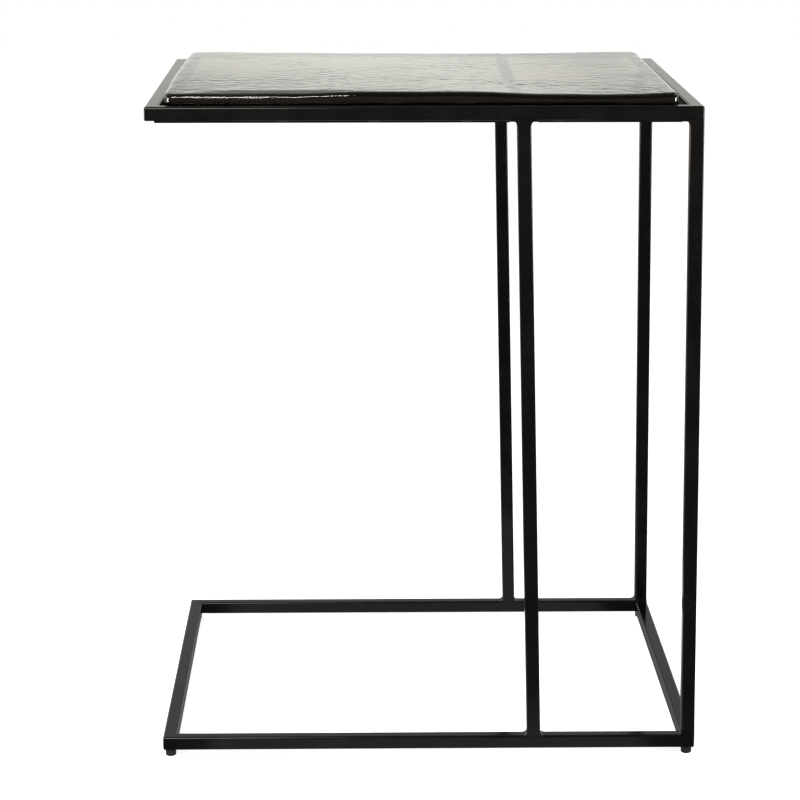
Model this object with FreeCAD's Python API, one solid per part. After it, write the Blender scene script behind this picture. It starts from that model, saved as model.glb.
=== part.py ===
import FreeCAD, Part
import math
import os

# C-shaped side table: a welded frame of square steel tube that carries a loose slab of cast glass.
#
# The base ring lies on the floor, the top ring carries the glass, and four uprights join them: two
# at the right-hand end and two part of the way along, which leaves the left-hand side open, so that
# the base slides under a sofa while the top reaches over it.
#
# Millimetres. +X runs from the open mouth of the C to the end with the posts, +Y from front to back,
# +Z up. The origin is on the floor under the middle of the table.

# ---------------------------------------------------------------- driving dimensions
RING_LENGTH = 470.0         # outside length of the top ring and of the base ring, along X
RING_DEPTH = 410.0          # outside depth of both rings, along Y
RING_TOP = 575.0            # floor to the upper face of the top ring

TUBE = 12.0                 # outside width of the square tube
TUBE_WALL = 1.2
TUBE_CORNER = 1.8           # outside corner radius of the tube
RING_CORNER = 2.0           # radius the rings' outer corners are ground to
COPE = 1.35                 # how far post ends and welds reach down over the rails' round edges

# The frame is welded by hand and is a little out of square, as built.
RACK = 5.0                  # the top ring sits this much further towards -X than the base ring
MID_FRONT_TOP = 83.5        # mid post, from the middle of the top ring, front
MID_BACK_TOP = 84.5         # the same, back
MID_FOOT = 92.5             # mid posts, from the middle of the base ring

TOP_WELD = 5.0              # leg and hollow radius of the welds under the top ring
BASE_WELD = 3.0             # the same, on the base ring

BAR_WIDTH = 20.0            # flat steel bar that carries the glass
BAR_THICK = 2.5
BAR_EASE = 0.6              # radius of its rolled edges
BAR_TUCK = 4.0              # how far it reaches under the top ring
BAR_CLEAR = 1.0             # from its notches to the posts' welds
STITCH_LENGTH = 12.0        # short welds under the ring that hold the bar
STITCH_LEG = 2.0
STITCH_TAPER = 1.5          # how far the ends of a stitch slope
STITCH_PITCH = 78.0
STITCH_FIRST = 37.0         # from the ring's left-hand end to the middle of the first one

GLASS_GAP = 4.5             # from the ring's inner faces to the glass, if it lay in the middle
GLASS_SHIFT = 2.0           # it lies loose on its bumpers, this much towards -X
GLASS_TURN = 0.45           # and turned this many degrees, seen from above
GLASS_THICK = 20.0          # at the middle of the swell
GLASS_CORNER = 7.0          # corner radius, seen from above
GLASS_TOP_ROUND = 4.0       # rolled upper edge
GLASS_BASE_EASE = 1.5       # bevel of the lower edge
SWELL = 1.6                 # half the height of the slow wave in the cast top
TROUGHS_AND_CRESTS = (-245.0, -90.0, 140.0, 300.0)  # along X, a trough first
PAD_DIAMETER = 6.0          # clear bumpers under the glass
PAD_THICK = 1.0
PAD_INSET = 8.5             # from the ring's inner faces to the middle of a bumper
PAD_REACH = 170.0           # from the middle of the table to the bumpers, along X

GLIDE_HEIGHT = 6.5          # floor to the underside of the base ring, feet screwed home
GLIDE_DIAMETER = 9.6
GLIDE_EASE = 1.2            # bevel of the foot's lower edge
GLIDE_INSET = 6.5           # from the outer faces of the base ring to the middle of a foot
STUD_DIAMETER = 4.9         # M5 thread, drawn plain
STUD_REACH = 9.0            # how far it stands above the foot
STUD_HEAD_ACROSS = 7.0      # hexagon head moulded into the foot, across its flats
STUD_HEAD_HEIGHT = 2.5
BUSH_ACROSS = 8.0           # hexagonal threaded bush let into the tube from below, across its flats
BUSH_BORE = 5.0
BUSH_LENGTH = 10.0

# ---------------------------------------------------------------- worked out from them
X = FreeCAD.Vector(1, 0, 0)
Y = FreeCAD.Vector(0, 1, 0)
Z = FreeCAD.Vector(0, 0, 1)

BASE_X = RACK / 2           # middle of the base ring
TOP_X = -RACK / 2           # middle of the top ring
BASE_UNDER = GLIDE_HEIGHT
BASE_TOP = BASE_UNDER + TUBE
RING_UNDER = RING_TOP - TUBE
SEAT = RING_UNDER           # upper face of the flat bar

INNER_LENGTH = RING_LENGTH - 2 * TUBE
INNER_DEPTH = RING_DEPTH - 2 * TUBE
GLASS_LENGTH = INNER_LENGTH - 2 * GLASS_GAP
GLASS_DEPTH = INNER_DEPTH - 2 * GLASS_GAP
GLASS_UNDER = SEAT + PAD_THICK
GLASS_LEVEL = GLASS_UNDER + GLASS_THICK

TUBE_MIDDLE_Y = RING_DEPTH / 2 - TUBE / 2
END_POST_X = RING_LENGTH / 2 - TUBE / 2

SIDES = ("front", "back", "left", "right")
CORNERS = {
    "front_left": (-1, -1),
    "front_right": (1, -1),
    "back_left": (-1, 1),
    "back_right": (1, 1),
}


def save(shape, node):
    """Write one node as a STEP file."""
    shape.exportStep(os.path.join("parts", node + ".step"))


def point(x, y, z):
    return FreeCAD.Vector(x, y, z)


def group(solids):
    """Several separate solids that share one node."""
    return Part.Compound(solids)


# ---------------------------------------------------------------- square tube
def rounded_face(centre, u, v, size_u, size_v, corner):
    """A rectangle with round corners, spanned by the unit vectors u and v about its centre."""
    reach_u = size_u / 2 - corner
    reach_v = size_v / 2 - corner
    arcs = []
    for turn, (side_u, side_v) in enumerate(((1, 1), (-1, 1), (-1, -1), (1, -1))):
        hub = centre + u * (side_u * reach_u) + v * (side_v * reach_v)
        angles = [math.radians(90 * turn + step) for step in (0, 45, 90)]
        arcs.append([hub + u * (corner * math.cos(a)) + v * (corner * math.sin(a)) for a in angles])
    edges = []
    for arc, following in zip(arcs, arcs[1:] + arcs[:1]):
        edges.append(Part.Arc(*arc).toShape())
        edges.append(Part.makeLine(arc[2], following[0]))
    return Part.Face(Part.Wire(edges))


def bar(start, along, u, v):
    """The tube's outline as a solid bar."""
    return rounded_face(start, u, v, TUBE, TUBE, TUBE_CORNER).extrude(along)


def bore(start, along, u, v):
    """The tube's hollow as a solid bar. Its corners are left square."""
    half = TUBE / 2 - TUBE_WALL
    corners = [start + u * a + v * b for a, b in ((half, half), (-half, half), (-half, -half), (half, -half))]
    return Part.Face(Part.makePolygon(corners + corners[:1])).extrude(along)


# ---------------------------------------------------------------- mitred rings
def mitre_zone(side, middle_x, length, depth, width, low, high):
    """The part of a rectangular ring that belongs to one side, cut at 45 degrees at its corners.
    It stands out past the ring all round, so that only the mitres cut."""
    spare = 1.0
    half_x, half_y = length / 2 + spare, depth / 2 + spare
    step = width + 2 * spare
    outer = {"left": -half_x, "right": half_x, "front": -half_y, "back": half_y}[side]
    inner = outer - math.copysign(step, outer)
    if side in ("front", "back"):
        corners = [(-half_x, outer), (half_x, outer), (half_x - step, inner), (step - half_x, inner)]
    else:
        corners = [(outer, -half_y), (outer, half_y), (inner, half_y - step), (inner, step - half_y)]
    loop = [point(middle_x + x, y, low - spare) for x, y in corners]
    return Part.Face(Part.makePolygon(loop + loop[:1])).extrude(Z * (high - low + 2 * spare))


def rail_line(side, middle_x, middle_z):
    """Start, direction and the section's two axes of one rail."""
    half_x, half_y = RING_LENGTH / 2, RING_DEPTH / 2
    if side in ("front", "back"):
        y = -TUBE_MIDDLE_Y if side == "front" else TUBE_MIDDLE_Y
        return point(middle_x - half_x, y, middle_z), X * RING_LENGTH, Y, Z
    x = -END_POST_X if side == "left" else END_POST_X
    return point(middle_x + x, -half_y, middle_z), Y * RING_DEPTH, Z, X


def ground_corners(middle_x, under):
    """What grinding takes off the four outer corners of a ring."""
    spare = 1.0
    ease = RING_CORNER * (1 - math.sqrt(0.5))
    waste = []
    for side_x, side_y in CORNERS.values():
        def at(a, b):
            x = middle_x + side_x * (RING_LENGTH / 2 - a)
            return point(x, side_y * (RING_DEPTH / 2 - b), under - spare)

        outline = [(0, RING_CORNER), (-spare, RING_CORNER), (-spare, -spare), (RING_CORNER, -spare)]
        outline.append((RING_CORNER, 0))
        edges = [Part.makeLine(at(*a), at(*b)) for a, b in zip(outline, outline[1:])]
        edges.append(Part.Arc(at(RING_CORNER, 0), at(ease, ease), at(0, RING_CORNER)).toShape())
        waste.append(Part.Face(Part.Wire(edges)).extrude(Z * (TUBE + 2 * spare)))
    return waste


def rail(side, middle_x, under):
    """One mitred rail of a ring."""
    line = rail_line(side, middle_x, under + TUBE / 2)
    zone = mitre_zone(side, middle_x, RING_LENGTH, RING_DEPTH, TUBE, under, under + TUBE)
    return bar(*line).cut(bore(*line)).common(zone).cut(ground_corners(middle_x, under))


def rail_bars(middle_x, under):
    """The four rails as solid mitred bars: what posts and welds are cut to sit on."""
    bars = []
    for side in SIDES:
        zone = mitre_zone(side, middle_x, RING_LENGTH, RING_DEPTH, TUBE, under, under + TUBE)
        bars.append(bar(*rail_line(side, middle_x, under + TUBE / 2)).common(zone))
    return bars


# ---------------------------------------------------------------- posts and their welds
POSTS = {
    "mid_front_post": (MID_FRONT_TOP, MID_FOOT, -TUBE_MIDDLE_Y),
    "mid_back_post": (MID_BACK_TOP, MID_FOOT, TUBE_MIDDLE_Y),
    "end_front_post": (END_POST_X, END_POST_X, -TUBE_MIDDLE_Y),
    "end_back_post": (END_POST_X, END_POST_X, TUBE_MIDDLE_Y),
}


def post_ends(name):
    """Where a post's middle line meets the base ring and the top ring."""
    at_top, at_foot, y = POSTS[name]
    return point(BASE_X + at_foot, y, BASE_TOP), point(TOP_X + at_top, y, RING_UNDER)


def post_bar(name, outline=bar):
    """The post's outline, or its bore, as a solid that reaches COPE past both ends of the post. A post
    leans only sideways, in the XZ plane."""
    foot, head = post_ends(name)
    along = (head - foot).normalize()
    spare = 2 * TUBE
    blank = outline(foot - along * spare, along * (RING_UNDER - BASE_TOP + 2 * spare), Y, along.cross(Y))
    low, high = BASE_TOP - COPE, RING_UNDER + COPE
    zone = Part.makeBox(RING_LENGTH, RING_DEPTH + TUBE, high - low)
    zone.translate(point(foot.x - RING_LENGTH / 2, -(RING_DEPTH + TUBE) / 2, low))
    return blank.common(zone)


def post(name, rails):
    """A post, coped at both ends so that it laps over the rails' round edges."""
    return post_bar(name).cut(post_bar(name, bore)).cut(rails)


def weld(corner, out, across, away, leg):
    """A hollow fillet weld. corner is where the post's face meets the rail's; out leads away from the
    post along the rail, away leads along the post, and across is the way the weld runs."""
    def at(a, b):
        return corner - across * (TUBE / 2) + out * a + away * b

    bulge = leg * (1 - math.sqrt(0.5))
    outline = [(0, leg), (-COPE, leg), (-COPE, -COPE), (leg, -COPE), (leg, 0)]
    edges = [Part.makeLine(at(*a), at(*b)) for a, b in zip(outline, outline[1:])]
    edges.append(Part.Arc(at(leg, 0), at(bulge, bulge), at(0, leg)).toShape())
    return Part.Face(Part.Wire(edges)).extrude(across * TUBE)


def post_weld_ways(name):
    """The ways a rail leads off from a post, each with the way its weld runs."""
    if name.startswith("mid"):
        return ((X, Y), (-X, Y))
    inward = Y if "front" in name else -Y
    return ((-X, Y), (inward, X))


def post_welds(end, leg, rails):
    """All welds at the posts' heads or feet, cut to sit on the tubes and on each other."""
    welds = []
    for name in POSTS:
        foot, head = post_ends(name)
        middle, away = (head, -Z) if end == "head" else (foot, Z)
        upright = post_bar(name)
        for out, across in post_weld_ways(name):
            piece = weld(middle + out * (TUBE / 2), out, across, away, leg)
            piece = piece.cut(upright).cut(rails)
            for earlier in welds:
                piece = piece.cut(earlier)
            welds.append(max(piece.Solids, key=lambda solid: solid.Volume))
    return group(welds)


# ---------------------------------------------------------------- ledge for the glass
LEDGE_LENGTH = INNER_LENGTH + 2 * BAR_TUCK
LEDGE_DEPTH = INNER_DEPTH + 2 * BAR_TUCK


def ledge_notches():
    """What is cut out of the bars' tucked edges round the posts and their welds."""
    reach = TUBE / 2 + TOP_WELD + BAR_CLEAR
    notches = []
    for name in POSTS:
        foot, head = post_ends(name)
        for out, across in post_weld_ways(name):
            low = head - across * (TUBE / 2) - Z * TUBE
            corners = [low, low + out * reach, low + out * reach + across * TUBE, low + across * TUBE]
            notches.append(Part.Face(Part.makePolygon(corners + corners[:1])).extrude(Z * TUBE))
    return notches


def ledge(side):
    """One mitred length of flat bar, tucked under the inner edge of the top ring."""
    middle_z = SEAT - BAR_THICK / 2
    half_x, half_y = LEDGE_LENGTH / 2, LEDGE_DEPTH / 2
    if side in ("front", "back"):
        y = half_y - BAR_WIDTH / 2
        start = point(TOP_X - half_x, -y if side == "front" else y, middle_z)
        blank = rounded_face(start, Y, Z, BAR_WIDTH, BAR_THICK, BAR_EASE).extrude(X * LEDGE_LENGTH)
    else:
        x = half_x - BAR_WIDTH / 2
        start = point(TOP_X - x if side == "left" else TOP_X + x, -half_y, middle_z)
        blank = rounded_face(start, Z, X, BAR_THICK, BAR_WIDTH, BAR_EASE).extrude(Y * LEDGE_DEPTH)
    low = SEAT - BAR_THICK
    zone = mitre_zone(side, TOP_X, LEDGE_LENGTH, LEDGE_DEPTH, BAR_WIDTH, low, SEAT)
    return blank.common(zone).cut(ledge_notches())


def stitch(middle, along, out):
    """A short fillet bead, its ends sloped, in the corner between the bar's edge and the underside of
    a rail; out leads from the bar towards the rail's outer face."""
    half, flat = STITCH_LENGTH / 2, STITCH_LENGTH / 2 - STITCH_TAPER

    def prism(outline, way):
        corners = [middle + along * a + out * b + Z * c for a, b, c in outline]
        return Part.Face(Part.makePolygon(corners + corners[:1])).extrude(way)

    bead = prism([(-half, 0, 0), (-half, STITCH_LEG, 0), (-half, 0, -STITCH_LEG)], along * STITCH_LENGTH)
    side = [(-half, 0, 0), (half, 0, 0), (flat, 0, -STITCH_LEG), (-flat, 0, -STITCH_LEG)]
    return bead.common(prism(side, out * STITCH_LEG))


def stitches():
    """Beads along the outer edges of the bars, at an even pitch."""
    half_x, half_y = LEDGE_LENGTH / 2, LEDGE_DEPTH / 2
    places = []
    for step in range(int((RING_LENGTH - STITCH_FIRST) // STITCH_PITCH) + 1):
        x = TOP_X - RING_LENGTH / 2 + STITCH_FIRST + step * STITCH_PITCH
        places.append((point(x, -half_y, RING_UNDER), X, -Y))
        places.append((point(x, half_y, RING_UNDER), X, Y))
    for y in [step * STITCH_PITCH for step in (-1.5, -0.5, 0.5, 1.5)]:
        places.append((point(TOP_X - half_x, y, RING_UNDER), Y, -X))
        places.append((point(TOP_X + half_x, y, RING_UNDER), Y, X))
    return group([stitch(*place) for place in places])


# ---------------------------------------------------------------- glass
def half_swell(flat, turn):
    """An arc that starts level at a trough or crest and ends where the wave turns over."""
    run, rise = turn.x - flat.x, turn.z - flat.z
    radius = (run * run + rise * rise) / (2 * abs(rise))
    drop = radius - math.sqrt(radius * radius - run * run / 4)
    return Part.Arc(flat, point(flat.x + run / 2, flat.y, flat.z + math.copysign(drop, rise)), turn)


def cast_surface():
    """What the slow wave of the cast face leaves clear above the slab."""
    y = -GLASS_DEPTH / 2 - GLASS_CORNER
    high = point(0, 0, GLASS_LEVEL + GLASS_THICK)
    levels = [GLASS_LEVEL + (SWELL if step % 2 else -SWELL) for step in range(len(TROUGHS_AND_CRESTS))]
    stations = [point(x, y, z) for x, z in zip(TROUGHS_AND_CRESTS, levels)]
    edges = []
    for here, following in zip(stations, stations[1:]):
        turn = (here + following) / 2
        edges.append(half_swell(here, turn).toShape())
        edges.append(half_swell(following, turn).toShape())
    first, last = stations[0], stations[-1]
    corners = [last, point(last.x, y, high.z), point(first.x, y, high.z), first]
    edges += [Part.makeLine(a, b) for a, b in zip(corners, corners[1:])]
    return Part.Face(Part.Wire(edges)).extrude(Y * (GLASS_DEPTH + 2 * GLASS_CORNER))


def glass_top():
    """The slab: a thick plate cut off by the wavy cast surface, its upper edges rolled."""
    block = rounded_face(point(0, 0, GLASS_UNDER), X, Y, GLASS_LENGTH, GLASS_DEPTH, GLASS_CORNER)
    slab = block.extrude(Z * (GLASS_THICK + 2 * SWELL)).cut(cast_surface())
    middle = GLASS_UNDER + GLASS_THICK / 2
    rim = []
    for edge in slab.Edges:
        box = edge.BoundBox
        inside = box.YLength > GLASS_DEPTH / 2 and abs(box.XMin) < GLASS_LENGTH / 2 - GLASS_CORNER
        if box.ZMin > middle and not inside:
            rim.append(edge)
    slab = slab.makeFillet(GLASS_TOP_ROUND, rim)
    lower = [edge for edge in slab.Edges if edge.BoundBox.ZMax < middle]
    slab = slab.makeChamfer(GLASS_BASE_EASE, lower)
    slab.rotate(point(0, 0, 0), Z, GLASS_TURN)
    slab.translate(X * (TOP_X - GLASS_SHIFT))
    return slab


def glass_pads():
    """Clear bumpers on the ledge, one near each corner of the glass."""
    reach_y = INNER_DEPTH / 2 - PAD_INSET
    pads = []
    for side_x, side_y in CORNERS.values():
        place = point(TOP_X + side_x * PAD_REACH, side_y * reach_y, SEAT)
        pads.append(Part.makeCylinder(PAD_DIAMETER / 2, PAD_THICK, place))
    return group(pads)


# ---------------------------------------------------------------- screw-in feet
def foot_place(corner):
    side_x, side_y = CORNERS[corner]
    x = BASE_X + side_x * (RING_LENGTH / 2 - GLIDE_INSET)
    return x, side_y * (RING_DEPTH / 2 - GLIDE_INSET)


def hexagon(place, across, height):
    """An upright hexagonal bar, measured across its flats, with two corners on the X axis."""
    reach = across / math.sqrt(3)
    angles = [math.radians(60 * turn) for turn in range(6)]
    corners = [place + X * (reach * math.cos(a)) + Y * (reach * math.sin(a)) for a in angles]
    return Part.Face(Part.makePolygon(corners + corners[:1])).extrude(Z * height)


def glide_stud(x, y):
    """Threaded stud with the hexagon head that is moulded flush into the foot and stops it turning."""
    head = hexagon(point(x, y, GLIDE_HEIGHT - STUD_HEAD_HEIGHT), STUD_HEAD_ACROSS, STUD_HEAD_HEIGHT)
    return head.fuse(Part.makeCylinder(STUD_DIAMETER / 2, STUD_REACH, point(x, y, GLIDE_HEIGHT)))


def glide(x, y):
    """Moulded foot: a short plug with an eased lower edge, around the head of its stud."""
    plug = Part.makeCylinder(GLIDE_DIAMETER / 2, GLIDE_HEIGHT, point(x, y, 0))
    lower = min(plug.Edges, key=lambda edge: edge.BoundBox.ZMax)
    return plug.makeChamfer(GLIDE_EASE, [lower]).cut(glide_stud(x, y))


def bush_bar(x, y):
    return hexagon(point(x, y, BASE_UNDER), BUSH_ACROSS, BUSH_LENGTH)


def glide_bush(x, y):
    """Threaded bush that the stud screws into, let into the tube from below and kept from turning."""
    return bush_bar(x, y).cut(Part.makeCylinder(BUSH_BORE / 2, BUSH_LENGTH, point(x, y, BASE_UNDER)))


# ---------------------------------------------------------------- the table
def build_frame():
    bushes = [bush_bar(*foot_place(corner)) for corner in CORNERS]
    for side in SIDES:
        save(rail(side, TOP_X, RING_UNDER), "top_" + side + "_rail")
        save(rail(side, BASE_X, BASE_UNDER).cut(bushes), "base_" + side + "_rail")
        save(ledge(side), "glass_ledge_" + side)
    top_bars = rail_bars(TOP_X, RING_UNDER)
    base_bars = rail_bars(BASE_X, BASE_UNDER)
    for name in POSTS:
        save(post(name, top_bars + base_bars), name)
    save(post_welds("head", TOP_WELD, top_bars), "post_top_welds")
    save(post_welds("foot", BASE_WELD, base_bars), "post_base_welds")
    save(stitches(), "ledge_stitch_welds")


def build_feet():
    for corner in CORNERS:
        x, y = foot_place(corner)
        save(glide(x, y), "glide_" + corner)
        save(glide_stud(x, y), "glide_stud_" + corner)
    save(group([glide_bush(*foot_place(corner)) for corner in CORNERS]), "glide_bushes")


def main():
    os.makedirs("parts", exist_ok=True)
    build_frame()
    build_feet()
    save(glass_top(), "glass_top")
    save(glass_pads(), "glass_pads")


main()
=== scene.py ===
# %% [markdown]
# # A C-shaped side table
# The table is a welded frame of square steel tube with a satin black powder coat. A loose slab of
# smoked cast glass lies on a ledge inside its top ring, and it stands on four small screw-in feet.
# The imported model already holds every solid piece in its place, so this lesson gives each of them its
# finish and makes again the few that need more shape: the rippled glass, the feet with their threaded
# studs, the clear bumpers and the hand-laid welds. All lengths are in metres, with the floor at z = 0,
# the open side of the C towards -X and the front towards -Y.

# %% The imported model
import math

import bmesh
import bpy
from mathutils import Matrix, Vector, noise


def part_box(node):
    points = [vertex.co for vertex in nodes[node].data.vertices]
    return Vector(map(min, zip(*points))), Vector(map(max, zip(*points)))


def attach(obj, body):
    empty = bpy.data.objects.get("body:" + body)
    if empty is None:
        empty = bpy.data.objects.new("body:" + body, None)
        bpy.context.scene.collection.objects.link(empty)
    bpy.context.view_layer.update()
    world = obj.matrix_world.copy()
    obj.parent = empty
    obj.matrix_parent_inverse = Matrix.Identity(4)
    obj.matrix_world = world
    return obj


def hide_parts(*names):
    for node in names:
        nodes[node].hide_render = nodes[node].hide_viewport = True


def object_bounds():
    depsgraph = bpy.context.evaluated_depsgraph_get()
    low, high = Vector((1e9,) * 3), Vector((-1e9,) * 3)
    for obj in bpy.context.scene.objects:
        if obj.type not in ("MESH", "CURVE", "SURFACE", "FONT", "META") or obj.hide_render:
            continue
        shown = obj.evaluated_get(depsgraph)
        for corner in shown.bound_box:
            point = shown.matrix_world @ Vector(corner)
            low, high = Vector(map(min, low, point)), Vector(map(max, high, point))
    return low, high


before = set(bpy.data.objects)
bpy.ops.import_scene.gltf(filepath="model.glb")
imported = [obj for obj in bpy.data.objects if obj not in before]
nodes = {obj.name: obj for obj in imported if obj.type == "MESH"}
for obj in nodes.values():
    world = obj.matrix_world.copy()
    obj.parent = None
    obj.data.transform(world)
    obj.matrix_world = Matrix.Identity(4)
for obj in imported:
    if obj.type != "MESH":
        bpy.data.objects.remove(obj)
cad_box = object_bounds()
MM = 0.001
print("table box in mm:", [[round(v / MM, 1) for v in corner] for corner in cad_box])

# %% [markdown]
# ## Camera
# The table is seen from the front and a little above, through a long lens, so that its uprights stay
# nearly parallel. The lens axis points down by a few degrees and a touch to the right. An Euler
# rotation says that plainly: X tips the camera up from looking straight down, Z turns it.

# %% Camera
CAMERA_PLACE = (-0.0577, -2.4115, 0.8311)
CAMERA_DOWN = math.radians(12.958)
CAMERA_RIGHT = math.radians(0.896)
LENS = 118.85

bpy.ops.object.select_all(action="DESELECT")
bpy.ops.object.camera_add(location=CAMERA_PLACE, rotation=(math.pi / 2 - CAMERA_DOWN, 0, -CAMERA_RIGHT))
camera = bpy.context.object
camera.name = "camera"
camera.data.lens = LENS
camera.data.sensor_width = 36
camera.data.clip_end = 50
camera.data.dof.use_dof = False
bpy.context.scene.camera = camera
bpy.context.scene.view_settings.view_transform = "Standard"
print("camera", [round(v, 3) for v in camera.location], "lens", LENS)

# %% [markdown]
# ## Studio
# A white room is the plainest light for a black and glossy object, because such an object shows
# little of its own colour and mostly mirrors what is round it. The world is white where the camera
# looks at it or through the glass. What the gloss mirrors is a room of its own: brightest along the
# horizon behind the table, falling off upwards and towards the camera's side, as in a studio with its
# white wall behind the table. That keeps the front faces of the tubes black and lets the tops of the
# rails shine. The room is set for the front, so from behind the gloss mirrors its darker, browner
# side. The light that falls on the table is set apart from both, so that paint renders about as its
# colour is written.

# %% World
ROOM_LIGHT = 0.38
WALL_BEHIND = 0.88
DARK_SIDE = 0.34
WALL_TONE = (0.985, 1.0, 0.942, 1)
BROWN_SIDE = (1.0, 0.88, 0.72, 1)
FRONT_TO_BACK = (-0.55, 0.30)
HORIZON_BAND = (0.06, 0.17)
HORIZON_LIGHT = 1.12
OVERHEAD_LIGHT = 0.45

world = bpy.data.worlds.new("studio_room")
bpy.context.scene.world = world
world.use_nodes = True
tree = world.node_tree
tree.nodes.clear()


def map_range(tree, source, low, high, to_low, to_high):
    """A smooth step from one value to another."""
    step = tree.nodes.new("ShaderNodeMapRange")
    step.interpolation_type = "SMOOTHSTEP"
    for key, value in (("From Min", low), ("From Max", high), ("To Min", to_low), ("To Max", to_high)):
        step.inputs[key].default_value = value
    tree.links.new(source, step.inputs["Value"])
    return step.outputs[0]


def math_node(tree, operation, first, second):
    """One Math node; each input is a socket or a number."""
    made = tree.nodes.new("ShaderNodeMath")
    made.operation = operation
    for index, value in enumerate((first, second)):
        if isinstance(value, (int, float)):
            made.inputs[index].default_value = value
        else:
            tree.links.new(value, made.inputs[index])
    return made.outputs[0]


def light_path(tree, kind):
    return tree.nodes.new("ShaderNodeLightPath").outputs["Is " + kind + " Ray"]


out = tree.nodes.new("ShaderNodeOutputWorld")
lit = tree.nodes.new("ShaderNodeBackground")
lit.inputs["Strength"].default_value = ROOM_LIGHT
white = tree.nodes.new("ShaderNodeBackground")
glossy = tree.nodes.new("ShaderNodeBackground")
way = tree.nodes.new("ShaderNodeTexCoord")
split = tree.nodes.new("ShaderNodeSeparateXYZ")
tree.links.new(way.outputs["Generated"], split.inputs[0])
facing = tree.nodes.new("ShaderNodeMix")
facing.data_type = "RGBA"
facing.inputs["A"].default_value = BROWN_SIDE
facing.inputs["B"].default_value = WALL_TONE
tree.links.new(map_range(tree, split.outputs["Y"], *FRONT_TO_BACK, 0, 1), facing.inputs["Factor"])
tree.links.new(facing.outputs["Result"], glossy.inputs["Color"])
round_about = map_range(tree, split.outputs["Y"], *FRONT_TO_BACK, DARK_SIDE, WALL_BEHIND)
upwards = map_range(tree, split.outputs["Z"], *HORIZON_BAND, HORIZON_LIGHT, OVERHEAD_LIGHT)
tree.links.new(math_node(tree, "MULTIPLY", round_about, upwards), glossy.inputs["Strength"])
mirrored = tree.nodes.new("ShaderNodeMixShader")
tree.links.new(light_path(tree, "Glossy"), mirrored.inputs[0])
tree.links.new(lit.outputs[0], mirrored.inputs[1])
tree.links.new(glossy.outputs[0], mirrored.inputs[2])
backdrop = tree.nodes.new("ShaderNodeMixShader")
plain = math_node(tree, "MAXIMUM", light_path(tree, "Camera"), light_path(tree, "Transmission"))
tree.links.new(plain, backdrop.inputs[0])
tree.links.new(mirrored.outputs[0], backdrop.inputs[1])
tree.links.new(white.outputs[0], backdrop.inputs[2])
tree.links.new(backdrop.outputs[0], out.inputs["Surface"])
white.inputs["Color"].default_value = (1, 1, 1, 1)
lit.inputs["Color"].default_value = (1, 1, 1, 1)
print("world made, light", ROOM_LIGHT)

# %% [markdown]
# The floor is a matt white sheet. It still takes the table's soft shadow, but where it is seen it gets
# a little of its own light, so that it runs into the white room with no edge. A black object mirrors
# the floor as well, so what the gloss sees of it is bright under the table and just in front of it,
# and dark further off, as if dark cloths lay there. Beside the end rails the same dark is painted
# shade: a contact shadow laid into what the gloss sees of the floor.

# %% Floor
FLOOR_WHITE = 0.86
FLOOR_LIFT = 0.74
FLOOR_MIRRORED = 0.85
# The dark the gloss sees of the floor: dark cloth far off, and painted shade beside the end rails.
DARK_CLOTH_AND_SHADE = 0.16
CLOTH_START = 0.03
CLOTH_END = 0.20
CLOTH_FAR = 0.34
CLOTH_TONE = (1.0, 0.84, 0.66, 1)
FAR_OFF = (2.0, 4.0)
INSIDE_ENDS = (-0.055, -0.030)

bpy.ops.object.select_all(action="DESELECT")
bpy.ops.mesh.primitive_plane_add(size=12, location=(0, 0, 0))
floor = bpy.context.object
floor.name = "studio_floor"
paper = bpy.data.materials.new("white_paper_floor")
paper.use_nodes = True
tree = paper.node_tree
tree.nodes.clear()
place = tree.nodes.new("ShaderNodeTexCoord")
split = tree.nodes.new("ShaderNodeSeparateXYZ")
tree.links.new(place.outputs["Object"], split.inputs[0])
past_end = math_node(tree, "SUBTRACT", math_node(tree, "ABSOLUTE", split.outputs["X"], 0), cad_box[1][0])
past_side = math_node(tree, "SUBTRACT", math_node(tree, "ABSOLUTE", split.outputs["Y"], 0), cad_box[1][1])
away = math_node(tree, "MAXIMUM", past_end, past_side)
cloth_and_shade = map_range(tree, away, *FAR_OFF, DARK_CLOTH_AND_SHADE, CLOTH_FAR)
near_table = map_range(tree, past_side, CLOTH_START, CLOTH_END, FLOOR_MIRRORED - DARK_CLOTH_AND_SHADE, 0)
# Painted shade: beside the end rails the bright floor is taken out of what the gloss sees.
unshaded_between_ends = map_range(tree, past_end, *INSIDE_ENDS, 1, 0)
mirrored = math_node(tree, "ADD", cloth_and_shade, math_node(tree, "MULTIPLY", near_table, unshaded_between_ends))
is_glossy = light_path(tree, "Glossy")
straight = math_node(tree, "MAXIMUM", light_path(tree, "Camera"), light_path(tree, "Transmission"))
own_light = math_node(tree, "ADD", math_node(tree, "MULTIPLY", straight, FLOOR_LIFT),
                      math_node(tree, "MULTIPLY", is_glossy, mirrored))
matt = tree.nodes.new("ShaderNodeBsdfDiffuse")
tint = tree.nodes.new("ShaderNodeMix")
tint.data_type = "RGBA"
tint.inputs["A"].default_value = (FLOOR_WHITE, FLOOR_WHITE, FLOOR_WHITE, 1)
tint.inputs["B"].default_value = (0, 0, 0, 1)
tree.links.new(is_glossy, tint.inputs["Factor"])
tree.links.new(tint.outputs["Result"], matt.inputs["Color"])
brown = tree.nodes.new("ShaderNodeMix")
brown.data_type = "RGBA"
brown.inputs["A"].default_value = (1, 1, 1, 1)
brown.inputs["B"].default_value = CLOTH_TONE
far_off = map_range(tree, away, *FAR_OFF, 0, 1)
tree.links.new(math_node(tree, "MULTIPLY", far_off, is_glossy), brown.inputs["Factor"])
lift = tree.nodes.new("ShaderNodeEmission")
tree.links.new(brown.outputs["Result"], lift.inputs["Color"])
tree.links.new(own_light, lift.inputs["Strength"])
both = tree.nodes.new("ShaderNodeAddShader")
tree.links.new(matt.outputs[0], both.inputs[0])
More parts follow.
